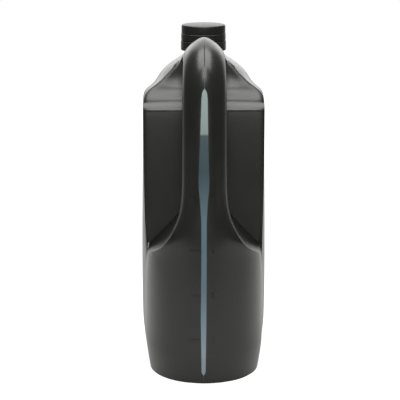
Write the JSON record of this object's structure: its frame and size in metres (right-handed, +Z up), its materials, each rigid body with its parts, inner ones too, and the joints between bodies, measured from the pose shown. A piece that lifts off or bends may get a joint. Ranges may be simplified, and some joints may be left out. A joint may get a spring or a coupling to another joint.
{
  "type": "motor oil bottle",
  "caption": "Upright blown plastic jug for motor oil, with a hollow end handle, a finger gap, an offset screw cap with tamper band, and a sight strip for the level.",
  "frame": {"origin": "centre of the bounding box at the standing surface, under the foot", "axes": "+Z up, -Y towards the handle end, X across the thickness with the mould's parting plane at X = 0"},
  "size_m": [0.1264, 0.2171, 0.3357],
  "materials": {
    "blown_polyethylene": "satin blown skin, dark grey",
    "moulded_polypropylene": "satin moulded, near black",
    "foam_wad": "matt foamed sheet",
    "engine_oil": "clear amber liquid"
  },
  "bodies": {
    "bottle": {"bottle": "blown_polyethylene", "tamper_band": "moulded_polypropylene", "oil": "engine_oil"},
    "liner": {"cap_liner": "foam_wad"},
    "cap": {"cap": "moulded_polypropylene"}
  },
  "joints": [
    {"name": "cap_lift", "type": "slide", "parent": "bottle", "child": "liner", "axis": [0, 0, 1], "range_m": [0, 0.00846]},
    {"name": "cap_turn", "type": "hinge", "parent": "liner", "child": "cap", "pos_m": [0, 0.018, 0.328], "axis": [0, 0, 1], "range_deg": [0, 720]}
  ],
  "couplings": [
    {"joint": "cap_turn", "follows": "cap_lift", "rad_per_m": 1485}
  ]
}
